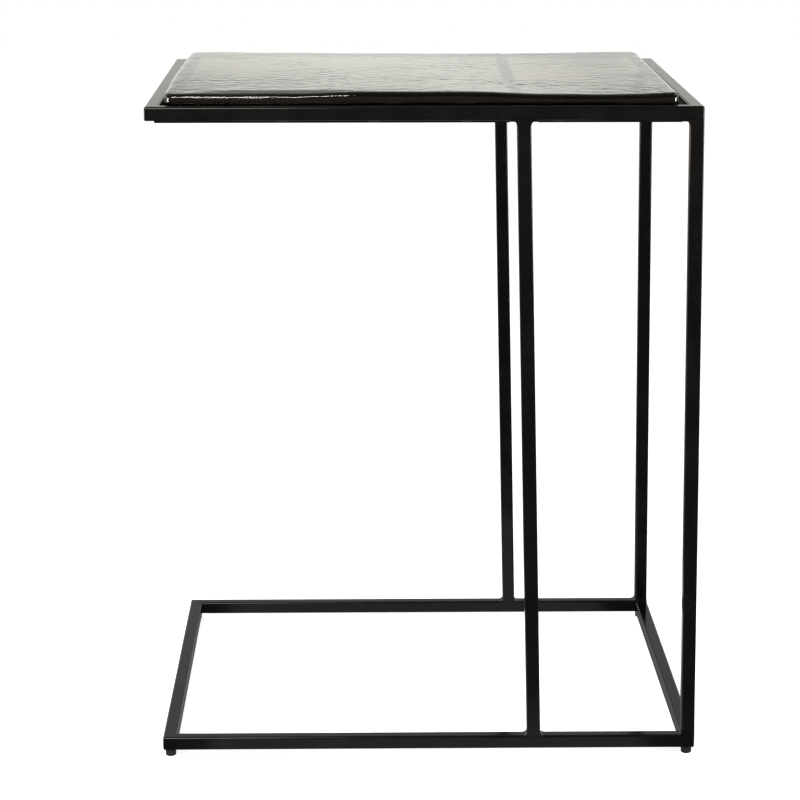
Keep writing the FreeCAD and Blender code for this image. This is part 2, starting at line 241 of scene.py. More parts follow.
tree.links.new(lift.outputs[0], both.inputs[1])
out = tree.nodes.new("ShaderNodeOutputMaterial")
tree.links.new(both.outputs[0], out.inputs["Surface"])
floor.data.materials.append(paper)
print("floor white", FLOOR_WHITE, "lift", FLOOR_LIFT)

# %% [markdown]
# Five soft lamps finish the light: a main one above and to the left, a weaker one to the right, a long
# strip in front on the left and a low panel at either side. Large lamps give soft shadows; the strip
# and the panels are there for their mirror images, the thin bright line along the rolled rim of the
# glass and the glints on its upright corners.

# %% Lamps
def soft_lamp(name, place, aim, size, watts):
    """An area lamp that points from its place at its aim; size is its width and its height."""
    bpy.ops.object.light_add(type="AREA", location=place)
    lamp = bpy.context.object
    lamp.name = name
    lamp.rotation_euler = (Vector(aim) - Vector(place)).to_track_quat("-Z", "Y").to_euler()
    lamp.data.shape = "RECTANGLE"
    lamp.data.size, lamp.data.size_y = size
    lamp.data.energy = watts
    return lamp


MIDDLE = (0, 0, 0.3)
soft_lamp("main_lamp", (-1.1, -1.5, 2.6), MIDDLE, (0.7, 0.7), 18)
soft_lamp("side_lamp", (2.2, 0.4, 1.9), MIDDLE, (1.2, 1.2), 12)
strip = soft_lamp("strip_lamp", (-0.67, -1.70, 1.53), (-0.1, -0.2, 0.58), (1.06, 0.8), 46)
strip.data.color = (1.0, 0.96, 0.86)
soft_lamp("left_panel", (-2.6, 0.35, 0.31), (-0.22, -0.18, 0.58), (0.75, 0.42), 14)
soft_lamp("right_panel", (2.5, -0.62, 0.33), (0.22, -0.18, 0.58), (0.85, 0.5), 26)
print("five lamps")

# %% [markdown]
# ## Powder coat
# Powder coat is sprayed on dry and baked until it flows. It ends as a thin satin film with a fine
# orange peel, slightly duller and shinier by turns, and it holds a faint haze of dust. Its colour
# also gets small light specks, partly dust and partly painted glints: highlights laid into the
# colour. The orange peel and the specks go into a node group, because the tubes, the ledge and the
# welds share them and only their amounts differ.

# %% Node group for a sprayed film
PEEL_HEIGHT = 0.00012
FLOW_SCALE = 38.0
SPECK_SCALE = 160.0
SPECK_EDGE = (0.045, 0.085)
HAZE_RANGE = (0.45, 0.75)
HAZE_SHARE = 0.35


def socket(group, name, kind, way, value=None):
    made = group.interface.new_socket(name=name, in_out=way, socket_type=kind)
    if value is not None:
        made.default_value = value
    return made


film = bpy.data.node_groups.new("sprayed_film", "ShaderNodeTree")
socket(film, "Peel Size", "NodeSocketFloat", "INPUT", 700.0)
socket(film, "Peel Depth", "NodeSocketFloat", "INPUT", 0.25)
socket(film, "Dull", "NodeSocketFloat", "INPUT", 0.42)
socket(film, "Dull Change", "NodeSocketFloat", "INPUT", 0.10)
socket(film, "Film Colour", "NodeSocketColor", "INPUT", (0.012, 0.012, 0.012, 1))
# The lighter colour below is laid on as a faint haze of dust and as small specks, partly dust and partly
# painted glints.
socket(film, "Dust Colour", "NodeSocketColor", "INPUT", (0.05, 0.048, 0.045, 1))
socket(film, "Dust", "NodeSocketFloat", "INPUT", 0.5)
socket(film, "Colour", "NodeSocketColor", "OUTPUT")
socket(film, "Roughness", "NodeSocketFloat", "OUTPUT")
socket(film, "Normal", "NodeSocketVector", "OUTPUT")

take = film.nodes.new("NodeGroupInput")
give = film.nodes.new("NodeGroupOutput")
place = film.nodes.new("ShaderNodeTexCoord")
peel = film.nodes.new("ShaderNodeTexNoise")
peel.inputs["Detail"].default_value = 2.0
peel.inputs["Roughness"].default_value = 0.45
film.links.new(place.outputs["Object"], peel.inputs["Vector"])
film.links.new(take.outputs["Peel Size"], peel.inputs["Scale"])
bump = film.nodes.new("ShaderNodeBump")
bump.inputs["Distance"].default_value = PEEL_HEIGHT
film.links.new(take.outputs["Peel Depth"], bump.inputs["Strength"])
film.links.new(peel.outputs["Fac"], bump.inputs["Height"])
film.links.new(bump.outputs["Normal"], give.inputs["Normal"])

flow = film.nodes.new("ShaderNodeTexNoise")
flow.inputs["Scale"].default_value = FLOW_SCALE
flow.inputs["Detail"].default_value = 4.0
film.links.new(place.outputs["Object"], flow.inputs["Vector"])
centred = film.nodes.new("ShaderNodeMath")
centred.operation = "SUBTRACT"
centred.inputs[1].default_value = 0.5
film.links.new(flow.outputs["Fac"], centred.inputs[0])
spread = film.nodes.new("ShaderNodeMath")
spread.operation = "MULTIPLY_ADD"
film.links.new(centred.outputs[0], spread.inputs[0])
film.links.new(take.outputs["Dull Change"], spread.inputs[1])
film.links.new(take.outputs["Dull"], spread.inputs[2])
film.links.new(spread.outputs[0], give.inputs["Roughness"])

# Light specks in the colour: partly dust, partly painted glints.
specks = film.nodes.new("ShaderNodeTexVoronoi")
specks.feature = "F1"
specks.inputs["Scale"].default_value = SPECK_SCALE
film.links.new(place.outputs["Object"], specks.inputs["Vector"])
near = film.nodes.new("ShaderNodeMapRange")
near.inputs["From Min"].default_value, near.inputs["From Max"].default_value = SPECK_EDGE
near.inputs["To Min"].default_value = 1.0
near.inputs["To Max"].default_value = 0.0
film.links.new(specks.outputs["Distance"], near.inputs["Value"])
cloud = film.nodes.new("ShaderNodeMapRange")
cloud.inputs["From Min"].default_value, cloud.inputs["From Max"].default_value = HAZE_RANGE
film.links.new(flow.outputs["Fac"], cloud.inputs["Value"])
haze = film.nodes.new("ShaderNodeMath")
haze.operation = "MULTIPLY"
haze.inputs[1].default_value = HAZE_SHARE
film.links.new(cloud.outputs[0], haze.inputs[0])
most = film.nodes.new("ShaderNodeMath")
most.operation = "MAXIMUM"
film.links.new(near.outputs[0], most.inputs[0])
film.links.new(haze.outputs[0], most.inputs[1])
amount = film.nodes.new("ShaderNodeMath")
amount.operation = "MULTIPLY"
film.links.new(most.outputs[0], amount.inputs[0])
film.links.new(take.outputs["Dust"], amount.inputs[1])
tint = film.nodes.new("ShaderNodeMix")
tint.data_type = "RGBA"
film.links.new(amount.outputs[0], tint.inputs["Factor"])
film.links.new(take.outputs["Film Colour"], tint.inputs["A"])
film.links.new(take.outputs["Dust Colour"], tint.inputs["B"])
film.links.new(tint.outputs["Result"], give.inputs["Colour"])
print("group", film.name, "with", len(film.nodes), "nodes")

# %% [markdown]
# Each painted material then holds its own Principled BSDF with that group in front. The tubes get the
# satin film as it is. The welds are the same film over a rougher ground, so it pools and shines more.

# %% Painted and moulded materials
FILM_IOR = 1.30


def filmed(name, **values):
    """A material whose colour, roughness and normal come from the film group."""
    made = bpy.data.materials.new(name)
    made.use_nodes = True
    tree = made.node_tree
    skin = tree.nodes["Principled BSDF"]
    skin.inputs["IOR"].default_value = FILM_IOR
    coat = tree.nodes.new("ShaderNodeGroup")
    coat.node_tree = film
    for key, value in values.items():
        coat.inputs[key.replace("_", " ")].default_value = value
    tree.links.new(coat.outputs["Colour"], skin.inputs["Base Color"])
    tree.links.new(coat.outputs["Roughness"], skin.inputs["Roughness"])
    tree.links.new(coat.outputs["Normal"], skin.inputs["Normal"])
    return made


# In each finish the lighter colour and its amount make a haze of dust and specks that are partly dust and
# partly painted glints.
powder_coat = filmed("satin_powder_coat", Peel_Size=700.0, Peel_Depth=0.10, Dull=0.13, Dull_Change=0.06,
                     Film_Colour=(0.0021, 0.0020, 0.0022, 1), Dust_Colour=(0.02, 0.019, 0.018, 1), Dust=0.35)
weld_coat = filmed("powder_coat_on_weld", Peel_Size=420.0, Peel_Depth=0.35, Dull=0.19, Dull_Change=0.10,
                   Film_Colour=(0.0021, 0.0020, 0.0022, 1), Dust_Colour=(0.02, 0.019, 0.018, 1), Dust=0.2)
foot_plastic = filmed("black_foot_plastic", Peel_Size=1500.0, Peel_Depth=0.35, Dull=0.48, Dull_Change=0.15,
                      Film_Colour=(0.016, 0.016, 0.017, 1), Dust_Colour=(0.10, 0.095, 0.085, 1), Dust=0.6)
print("materials:", powder_coat.name, weld_coat.name, foot_plastic.name)

# %% Finish on the tubes and the ledge
def finish_node(name, material):
    for holder in nodes[name].material_slots:
        holder.material = material


painted = [name for name in nodes if name.endswith(("_rail", "_post")) or name.startswith("glass_ledge")]
for name in painted:
    finish_node(name, powder_coat)
print("powder coat on", len(painted), "nodes")

# %% [markdown]
# ## Metal of the studs and bushes
# The studs are zinc plated, pale with a slight cloud; the bushes are plain turned steel.

# %% Zinc and turned steel
CLOUD_SHADE = 0.8
CLOUD_DULL = 0.08


def plated(name, colour, dull, cloud_scale):
    made = bpy.data.materials.new(name)
    made.use_nodes = True
    tree = made.node_tree
    skin = tree.nodes["Principled BSDF"]
    skin.inputs["Metallic"].default_value = 1.0
    place = tree.nodes.new("ShaderNodeTexCoord")
    cloud = tree.nodes.new("ShaderNodeTexNoise")
    cloud.inputs["Scale"].default_value = cloud_scale
    cloud.inputs["Detail"].default_value = 5.0
    ramp = tree.nodes.new("ShaderNodeMix")
    ramp.data_type = "RGBA"
    ramp.inputs["A"].default_value = (*[c * CLOUD_SHADE for c in colour], 1)
    ramp.inputs["B"].default_value = (*colour, 1)
    rough = tree.nodes.new("ShaderNodeMapRange")
    rough.inputs["To Min"].default_value = dull - CLOUD_DULL
    rough.inputs["To Max"].default_value = dull + CLOUD_DULL
    tree.links.new(place.outputs["Object"], cloud.inputs["Vector"])
    tree.links.new(cloud.outputs["Fac"], ramp.inputs["Factor"])
    tree.links.new(cloud.outputs["Fac"], rough.inputs["Value"])
    tree.links.new(ramp.outputs["Result"], skin.inputs["Base Color"])
    tree.links.new(rough.outputs[0], skin.inputs["Roughness"])
    return made


zinc = plated("zinc_plate", (0.62, 0.62, 0.60), 0.32, 900.0)
turned_steel = plated("turned_steel", (0.44, 0.44, 0.45), 0.38, 1400.0)
finish_node("glide_bushes", turned_steel)
print("metals:", zinc.name, turned_steel.name)

# %% [markdown]
# ## Smoked cast glass
# The slab is glass with a dark smoke in its body. A painted colour would look flat, so the surface is
# plain clear glass and the smoke is a volume that takes light away along the path inside: thin parts
# look pale and the long way in through an edge goes black, as in the real thing.

# %% Smoked glass
SMOKE_COLOUR = (0.71, 0.70, 0.68, 1)
SMOKE_DENSITY = 118.0
GLASS_ROUGHNESS = 0.03
GLASS_IOR = 1.5
SKIN_SCALE = 110.0
SKIN_STRENGTH = 0.06
SKIN_HEIGHT = 0.0002

smoked_glass = bpy.data.materials.new("smoked_cast_glass")
smoked_glass.use_nodes = True
tree = smoked_glass.node_tree
skin = tree.nodes["Principled BSDF"]
skin.inputs["Base Color"].default_value = (1, 1, 1, 1)
skin.inputs["Transmission Weight"].default_value = 1.0
skin.inputs["Roughness"].default_value = GLASS_ROUGHNESS
skin.inputs["IOR"].default_value = GLASS_IOR
smoke = tree.nodes.new("ShaderNodeVolumeAbsorption")
smoke.inputs["Color"].default_value = SMOKE_COLOUR
smoke.inputs["Density"].default_value = SMOKE_DENSITY
tree.links.new(smoke.outputs[0], tree.nodes["Material Output"].inputs["Volume"])
place = tree.nodes.new("ShaderNodeTexCoord")
ripple = tree.nodes.new("ShaderNodeTexNoise")
ripple.inputs["Scale"].default_value = SKIN_SCALE
ripple.inputs["Detail"].default_value = 2.0
bump = tree.nodes.new("ShaderNodeBump")
bump.inputs["Strength"].default_value = SKIN_STRENGTH
bump.inputs["Distance"].default_value = SKIN_HEIGHT
tree.links.new(place.outputs["Object"], ripple.inputs["Vector"])
tree.links.new(ripple.outputs["Fac"], bump.inputs["Height"])
tree.links.new(bump.outputs["Normal"], skin.inputs["Normal"])
print("glass with smoke density", SMOKE_DENSITY)

# %% [markdown]
# ## The glass slab
# The slab is poured into an open mould: flat below, with a rolled rim, and on top a face that keeps
# the slow waves and small ripples of the pour. It starts as a box. The upright corners, the rim and
# the lower edge are bevelled as round as on the casting. Then the box is cut into a fine even grid,
# because only a dense mesh can take the ripples. The cuts come last, so that each bevel works on a
# few long edges instead of thousands of short ones.

# %% Helpers for edit mode
def only(obj):
    """Make one object the active and only selected one."""
    bpy.ops.object.select_all(action="DESELECT")
    obj.select_set(True)
    bpy.context.view_layer.objects.active = obj


def pick(obj, kind, test):
    """In edit mode, select exactly those verts, edges or faces that pass the test."""
    bpy.ops.mesh.select_mode(type=kind)
    bpy.ops.mesh.select_all(action="DESELECT")
    mesh = bmesh.from_edit_mesh(obj.data)
    found = 0
    for item in {"VERT": mesh.verts, "EDGE": mesh.edges, "FACE": mesh.faces}[kind]:
        if test(item):
            item.select_set(True)
            found += 1
    mesh.select_flush_mode()
    bmesh.update_edit_mesh(obj.data)
    return found


def span(edge, axis):
    """How far an edge reaches along one axis."""
    return abs(edge.verts[0].co[axis] - edge.verts[1].co[axis])


def level(edge, height):
    return all(abs(v.co.z - height) < 1e-5 for v in edge.verts)


# %% Block with round corners
slab_low, slab_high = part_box("glass_top")
SWELL = 1.6 * MM
SLAB_TOP = slab_high.z - SWELL
SLAB_LENGTH = 437 * MM
SLAB_DEPTH = 377 * MM
SLAB_TURN = math.radians(0.45)
PLAN_CORNER = 7.0 * MM
RIM_ROUND = 4.0 * MM
FOOT_ROUND = 1.5 * MM

size = Vector((SLAB_LENGTH, SLAB_DEPTH, SLAB_TOP - slab_low.z))
middle = Vector((slab_low.x + slab_high.x, slab_low.y + slab_high.y, slab_low.z + SLAB_TOP)) / 2
bpy.ops.object.select_all(action="DESELECT")
bpy.ops.mesh.primitive_cube_add(size=1, location=middle, scale=size)
slab = bpy.context.object
slab.name = "cast_glass_slab"
bpy.ops.object.transform_apply(location=True, rotation=True, scale=True)
bpy.ops.object.mode_set(mode="EDIT")
pick(slab, "EDGE", lambda e: span(e, 2) > size.z / 2)
bpy.ops.mesh.bevel(offset=PLAN_CORNER, segments=8, affect="EDGES")
pick(slab, "EDGE", lambda e: level(e, SLAB_TOP))
bpy.ops.mesh.bevel(offset=RIM_ROUND, segments=6, affect="EDGES")
pick(slab, "EDGE", lambda e: level(e, slab_low.z))
bpy.ops.mesh.bevel(offset=FOOT_ROUND, segments=3, affect="EDGES")
print("block:", len(bmesh.from_edit_mesh(slab.data).faces), "faces")

# %% Grid for the ripples
pick(slab, "FACE", lambda f: f.normal.z > 0.999 and f.calc_area() > 0.05)
bpy.ops.mesh.inset(thickness=PLAN_CORNER - RIM_ROUND, use_even_offset=True)
bpy.ops.mesh.select_mode(type="VERT")
bpy.ops.mesh.remove_doubles(threshold=0.5 * MM)
print("corners merged:", len(bmesh.from_edit_mesh(slab.data).faces), "faces")


def cut_across(axis, longer_than, cuts):
    """Cut every edge that runs along one axis and is long enough into equal pieces."""
    def runs_along(edge):
        reach = span(edge, axis)
        return reach > longer_than and reach > 0.999 * edge.calc_length()

    found = pick(slab, "EDGE", runs_along)
    bpy.ops.mesh.subdivide(number_cuts=cuts)
    print("cut", found, "edges along", "xyz"[axis], "into", cuts + 1)


cut_across(2, 10 * MM, 7)
cut_across(0, 100 * MM, 15)
cut_across(0, 20 * MM, 14)
cut_across(1, 100 * MM, 15)
cut_across(1, 20 * MM, 12)
pick(slab, "FACE", lambda f: f.normal.z < -0.999)
bpy.ops.mesh.dissolve_faces()
bpy.ops.mesh.inset(thickness=1.0 * MM, use_even_offset=True)
print("grid:", len(bmesh.from_edit_mesh(slab.data).faces), "faces")
bpy.ops.object.mode_set(mode="OBJECT")

# %% [markdown]
# The slow waves come from a lattice: a cage of a few hundred points that bends the dense mesh inside
# it. Only its upper layer moves up or down, so the underside stays flat on its bumpers. The front
# edge has one profile and the back edge, which lies lower, another. Between them the left part swells
# up a little and the right part sinks, and the front rim dips a little at the left. Both layers move
# sideways at the left: the casting narrows towards the front, and its back corner is drawn in.

# %% Slow waves
FRONT_WAVE = (-0.3, -0.1, 0.6, 0.8, 0.9, 1.5, 1.5, 1.3, 1.5, 0.8, -0.6, -0.9, -1.1, -0.4, 0.9)
DOME = (0.5, 0.7, 0.8, 0.8, 0.8, 0.8, 0.8, 0.7, 0.4, 0.1, -0.1, -0.2, -0.25, -0.25, -0.2)
BACK_WAVE = (-0.6, -0.6, -1.1, -1.3, -1.7, -2.0, -1.8, -2.0, -2.4, -2.0, -2.4, -2.0, -1.3, -0.8, -0.9)
RIM_SINKS = {2: 1.2, 3: 1.2, 4: 1.2, 5: 0.5}
LEFT_EDGE = (-2.6, -2.2, -1.7, -1.3, -0.9, -0.5, 0.0, 0.4, 0.5, 0.6,
             0.6, 0.6, 0.6, 0.6, 0.7, 0.8, 0.8, 0.6, 0.0, -2.5)
DRAWN_IN = 2.5
FRONT_FADE = 2.2
BACK_FADE = 1.1
CAGE_MARGIN = 1.02

bpy.ops.object.select_all(action="DESELECT")
bpy.ops.object.add(type="LATTICE", location=middle)
cage = bpy.context.object
cage.scale = size * CAGE_MARGIN
across, along = len(FRONT_WAVE), len(LEFT_EDGE)
cage.data.points_u, cage.data.points_v, cage.data.points_w = across, along, 2
cage.data.interpolation_type_u = "KEY_CARDINAL"
cage.data.interpolation_type_v = "KEY_CARDINAL"
cage.data.interpolation_type_w = "KEY_LINEAR"
for index, knot in enumerate(cage.data.points):
    u = index % across
    v = index // across % along
    back = v / (along - 1)
    if index >= across * along:
        rise = FRONT_WAVE[u] * (1 - back) ** FRONT_FADE + BACK_WAVE[u] * back ** BACK_FADE
        rise += DOME[u] * 4 * back * (1 - back)
        if v == 0:
            rise -= RIM_SINKS.get(u, 0)
        knot.co_deform.z += rise * MM / cage.scale.z
    if u == 0:
        knot.co_deform.x -= LEFT_EDGE[v] * MM / cage.scale.x
    if u == 0 and v == along - 1:
        knot.co_deform.y -= DRAWN_IN * MM / cage.scale.y
only(slab)
bend = slab.modifiers.new("slow_waves", "LATTICE")
bend.object = cage
bpy.context.view_layer.update()
bpy.ops.object.modifier_apply(modifier=bend.name)
bpy.data.objects.remove(cage)
print("slab now up to", round(max(v.co.z for v in slab.data.vertices) / MM, 2), "mm")

# %% Rounder corners at the left
FRONT_CORNER = 12 * MM
BACK_CORNER = 13 * MM


def round_corner(side_y, radius):
    """Draw the left-hand corner at one end in, from the bevel's radius to a larger one."""
    straight = radius - PLAN_CORNER
    centre_x = middle.x - size.x / 2 + radius
    centre_y = middle.y + side_y * (size.y / 2 - radius)
    for v in slab.data.vertices:
        out_x, out_y = centre_x - v.co.x, side_y * (v.co.y - centre_y)
        if out_x > 0 and out_y > 0:
            reach = math.hypot(out_x, out_y)
            cos, sin = out_x / reach, out_y / reach
            edge = radius / max(cos, sin)
            if edge * min(cos, sin) > straight:
                both = straight * (cos + sin)
                edge = both + math.sqrt(both ** 2 - 2 * straight ** 2 + PLAN_CORNER ** 2)
            v.co.x = centre_x - out_x * radius / edge
            v.co.y = centre_y + side_y * out_y * radius / edge


round_corner(-1, FRONT_CORNER)
round_corner(1, BACK_CORNER)
print("left corners rounded")

# %% [markdown]
# Displace modifiers add the ripples of the pour: soft ones a couple of centimetres wide, and small
# creased ones on top, where the skin of the glass wrinkled as it set. A vertex group fades them out
# below the rim, where the mould held the glass, and makes them come and go over the face. Another
# makes the rim uneven. At the end the slab is turned by the small angle at which it lies in its ring.

# %% Ripples
PATCH = 95 * MM
PATCH_LEVEL = 0.58
PATCH_CHANGE = 0.8
PATCH_LEAST = 0.15
RIPPLE_MIDDLE = -80 * MM
FADE_ASIDE = 1.2
STRONGER_FRONT = 1.0
RIM_LEAST = 0.05
RIM_FADE = 9 * MM
UNEVEN_DEPTH = 12 * MM


def clamp(value, least=0.0):
    return min(max(value, least), 1.0)


cast = slab.vertex_groups.new(name="cast_face")
side = slab.vertex_groups.new(name="rim")
for v in slab.data.vertices:
    up = (v.co.z - (SLAB_TOP - 6 * MM)) / (4 * MM)
    patch = PATCH_LEVEL + PATCH_CHANGE * noise.noise(Vector((v.co.x, 1.4 * v.co.y, 0.31)) / PATCH)
    patch -= FADE_ASIDE * abs(v.co.x - RIPPLE_MIDDLE) + STRONGER_FRONT * (v.co.y - middle.y)
    inner = min(size.x / 2 - abs(v.co.x - middle.x), size.y / 2 - abs(v.co.y - middle.y))
    rolled = RIM_LEAST + (1 - RIM_LEAST) * clamp(inner / RIM_FADE)
    cast.add([v.index], clamp(up) * clamp(patch, PATCH_LEAST) * rolled, "REPLACE")
    low = (v.co.z - slab_low.z - 2 * MM) / (10 * MM)
    side.add([v.index], clamp(low) * clamp(1 - inner / UNEVEN_DEPTH), "REPLACE")


def ripples(name, kind, width, height, group, way):
    pattern = bpy.data.textures.new(name, "CLOUDS")
    pattern.noise_type = kind
    pattern.noise_scale = width
    pattern.noise_depth = 1
    press = slab.modifiers.new(name, "DISPLACE")
    press.texture = pattern
    press.texture_coords = "GLOBAL"
    press.direction = way
    press.strength = height
    press.mid_level = 0.5
    press.vertex_group = group
    bpy.ops.object.modifier_apply(modifier=press.name)


ripples("soft_ripples", "SOFT_NOISE", 13 * MM, 0.26 * MM, "cast_face", "Z")
ripples("creased_ripples", "HARD_NOISE", 8.0 * MM, 0.36 * MM, "cast_face", "Z")
ripples("uneven_rim", "SOFT_NOISE", 30 * MM, 0.5 * MM, "rim", "NORMAL")
bpy.ops.object.mode_set(mode="EDIT")
bpy.ops.mesh.select_all(action="SELECT")
bpy.ops.transform.rotate(value=SLAB_TURN, orient_axis="Z", center_override=middle)
bpy.ops.object.mode_set(mode="OBJECT")
front_right = max(slab.data.vertices, key=lambda v: v.co.x - v.co.y).co
back_right = max(slab.data.vertices, key=lambda v: v.co.x + v.co.y).co
print("right-hand side leans", round((back_right.x - front_right.x) / MM, 2), "mm to the left")
excess = max(v.co.z for v in slab.data.vertices) - slab_high.z
print("highest ripple is", round(excess / MM, 2), "mm above the CAD slab")
for v in slab.data.vertices:
    v.co.z = min(v.co.z, slab_high.z)
bpy.ops.object.shade_smooth()
slab.data.materials.append(smoked_glass)
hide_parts("glass_top")
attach(slab, "glass")
print("slab:", len(slab.data.polygons), "faces")

# %% [markdown]
# ## Welds
# Each post is joined to the rings by hollow fillet welds, and the ledge by short stitches. The packed
# solids have them at their true size with a machined face. A hand-laid weld is softer and never quite
# even, so each group is copied, its loose triangles merged, remeshed with small voxels, smoothed and
# pressed in a little by a cloud pattern. The pattern only takes away, and what is left past the box
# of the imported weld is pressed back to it, as grinding it flush with the rings does.

# %% Hand-laid welds
PUDDLE = 3.0 * MM
PRESSED_IN = 0.15 * MM


def cast_copy(node, name):
    """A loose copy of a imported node, with its triangles merged."""
    made = bpy.data.objects.new(name, nodes[node].data.copy())
    bpy.context.scene.collection.objects.link(made)
    only(made)
    bpy.ops.object.mode_set(mode="EDIT")
    bpy.ops.mesh.select_all(action="SELECT")
    bpy.ops.mesh.remove_doubles(threshold=0.002 * MM)
    bpy.ops.object.mode_set(mode="OBJECT")
    bpy.ops.mesh.customdata_custom_splitnormals_clear()
    made.data.materials.clear()
    return made


def apply_modifier(obj, kind, **values):
    """Add one modifier, set it up and apply it."""
    added = obj.modifiers.new(kind.lower(), kind)
    for key, value in values.items():
        setattr(added, key, value)
    bpy.ops.object.modifier_apply(modifier=added.name)


def hand_laid(node, name, voxel):
    weld = cast_copy(node, name)
    apply_modifier(weld, "REMESH", mode="VOXEL", voxel_size=voxel)
    apply_modifier(weld, "SMOOTH", factor=0.5, iterations=4)
    puddle = bpy.data.textures.new(name, "CLOUDS")
    puddle.noise_scale = PUDDLE
    puddle.noise_depth = 1
    apply_modifier(weld, "DISPLACE", texture=puddle, texture_coords="GLOBAL", strength=PRESSED_IN,
                   mid_level=1.0)
    low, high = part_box(node)
    for v in weld.data.vertices:
        v.co = [min(max(here, least), most) for here, least, most in zip(v.co, low, high)]
    bpy.ops.object.shade_smooth()
    weld.data.materials.append(weld_coat)
    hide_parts(node)
    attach(weld, "frame")
    print(name, len(weld.data.polygons), "faces")


hand_laid("post_top_welds", "hand_laid_top_welds", 0.32 * MM)
hand_laid("post_base_welds", "hand_laid_base_welds", 0.25 * MM)
hand_laid("ledge_stitch_welds", "hand_laid_stitches", 0.30 * MM)

# %% [markdown]
# ## Feet
# A foot is a small moulding of black plastic: a plug with a soft lower edge, a little narrower at the
# floor so that it leaves its mould. It is moulded round the hexagon head of a threaded stud. One foot
# is made at the origin by bevelling and tapering a cylinder, and copied to the four corners.

# %% One foot
CORNERS = ("front_left", "front_right", "back_left", "back_right")
foot_low, foot_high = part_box("glide_front_left")
FOOT_RADIUS = (foot_high.x - foot_low.x) / 2
FOOT_HEIGHT = foot_high.z
FOOT_TAPER = 0.955
FOOT_SOFT_EDGE = 1.5 * MM
FOOT_TOP_EDGE = 0.35 * MM

bpy.ops.object.select_all(action="DESELECT")
bpy.ops.mesh.primitive_cylinder_add(vertices=64, radius=FOOT_RADIUS, depth=FOOT_HEIGHT,
                                    location=(0, 0, FOOT_HEIGHT / 2))
foot = bpy.context.object
foot.name = "moulded_foot"
bpy.ops.object.transform_apply(location=True, rotation=True, scale=True)
bpy.ops.object.mode_set(mode="EDIT")
pick(foot, "VERT", lambda v: v.co.z < 1e-6)
bpy.ops.transform.resize(value=(FOOT_TAPER, FOOT_TAPER, 1), center_override=(0, 0, 0))
pick(foot, "EDGE", lambda e: level(e, 0))
bpy.ops.mesh.bevel(offset=FOOT_SOFT_EDGE, segments=6, affect="EDGES")
pick(foot, "EDGE", lambda e: level(e, FOOT_HEIGHT))
bpy.ops.mesh.bevel(offset=FOOT_TOP_EDGE, segments=3, affect="EDGES")
bpy.ops.object.mode_set(mode="OBJECT")
bpy.ops.object.shade_smooth_by_angle(angle=math.radians(35))
foot.data.materials.append(foot_plastic)
print("foot:", len(foot.data.polygons), "faces")

# %% [markdown]
# The stud only shows when a foot is screwed out, and then its thread does. A thread is one notch swept
# round and upwards, which is what the Screw modifier does: the notch is one pitch high, so each turn
# starts where the last one ended. Two flat cuts close the ends, and a bevelled hexagon makes the head.

# %% One threaded stud
stud_low, stud_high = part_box("glide_stud_front_left")
PITCH = 0.8 * MM
CREST = 2.45 * MM
GROOVE = 2.05 * MM
HEAD_HEIGHT = FOOT_HEIGHT - stud_low.z
HEAD_EDGE = 0.2 * MM
TURNS = 14
START = FOOT_HEIGHT - 1.6 * PITCH

bpy.ops.object.select_all(action="DESELECT")
bpy.ops.mesh.primitive_plane_add(size=PITCH, location=(0, 0, 0))
stud = bpy.context.object
stud.name = "threaded_stud"
bpy.ops.object.mode_set(mode="EDIT")
bpy.ops.mesh.delete(type="ONLY_FACE")
mesh = bmesh.from_edit_mesh(stud.data)
mesh.verts.ensure_lookup_table()
notch = [(GROOVE, 0), (CREST, 0.42 * PITCH), (CREST, 0.58 * PITCH), (GROOVE, PITCH)]
order = [mesh.verts[i] for i in (0, 1, 3, 2)]
for vert, (radius, height) in zip(order, notch):
    vert.co = (radius, 0, START + height)
closing = mesh.edges.get((order[0], order[3]))
mesh.edges.remove(closing)
bmesh.update_edit_mesh(stud.data)
bpy.ops.object.mode_set(mode="OBJECT")
apply_modifier(stud, "SCREW", axis="Z", angle=2 * math.pi, screw_offset=PITCH, iterations=TURNS, steps=24,
               render_steps=24, use_merge_vertices=True, merge_threshold=0.001 * MM)
bpy.ops.object.mode_set(mode="EDIT")
bpy.ops.mesh.select_all(action="SELECT")
bpy.ops.mesh.remove_doubles(threshold=0.002 * MM)
for height, inner, outer in ((FOOT_HEIGHT, True, False), (stud_high.z - 0.05 * MM, False, True)):
    bpy.ops.mesh.select_all(action="SELECT")
    bpy.ops.mesh.bisect(plane_co=(0, 0, height), plane_no=(0, 0, 1), use_fill=True, clear_inner=inner,
                        clear_outer=outer, threshold=0.0001 * MM)
bpy.ops.mesh.select_all(action="SELECT")
bpy.ops.mesh.normals_make_consistent(inside=False)
bpy.ops.object.mode_set(mode="OBJECT")

bpy.ops.object.select_all(action="DESELECT")
across = stud_high.y - stud_low.y
bpy.ops.mesh.primitive_cylinder_add(vertices=6, radius=across / math.sqrt(3), depth=HEAD_HEIGHT,
                                    location=(0, 0, stud_low.z + HEAD_HEIGHT / 2),
                                    rotation=(0, 0, math.radians(30)))
head = bpy.context.object
bpy.ops.object.transform_apply(location=True, rotation=True, scale=True)
apply_modifier(head, "BEVEL", width=HEAD_EDGE, segments=2)
bpy.ops.object.select_all(action="DESELECT")
head.select_set(True)
stud.select_set(True)
bpy.context.view_layer.objects.active = stud
bpy.ops.object.join()
bpy.ops.object.shade_smooth_by_angle(angle=math.radians(30))
stud.data.materials.clear()
stud.data.materials.append(zinc)
print("stud:", len(stud.data.polygons), "faces, box", [round(v / MM, 1) for v in stud.dimensions])

# %% Four feet
def copy_to(source, name, place):
    """A copy with its own mesh, moved within its mesh so that its origin stays at the world's."""
    made = source.copy()
    made.data = source.data.copy()
    made.name = name
    bpy.context.scene.collection.objects.link(made)
    made.location = place
    only(made)
    bpy.ops.object.transform_apply(location=True, rotation=True, scale=True)
    return made


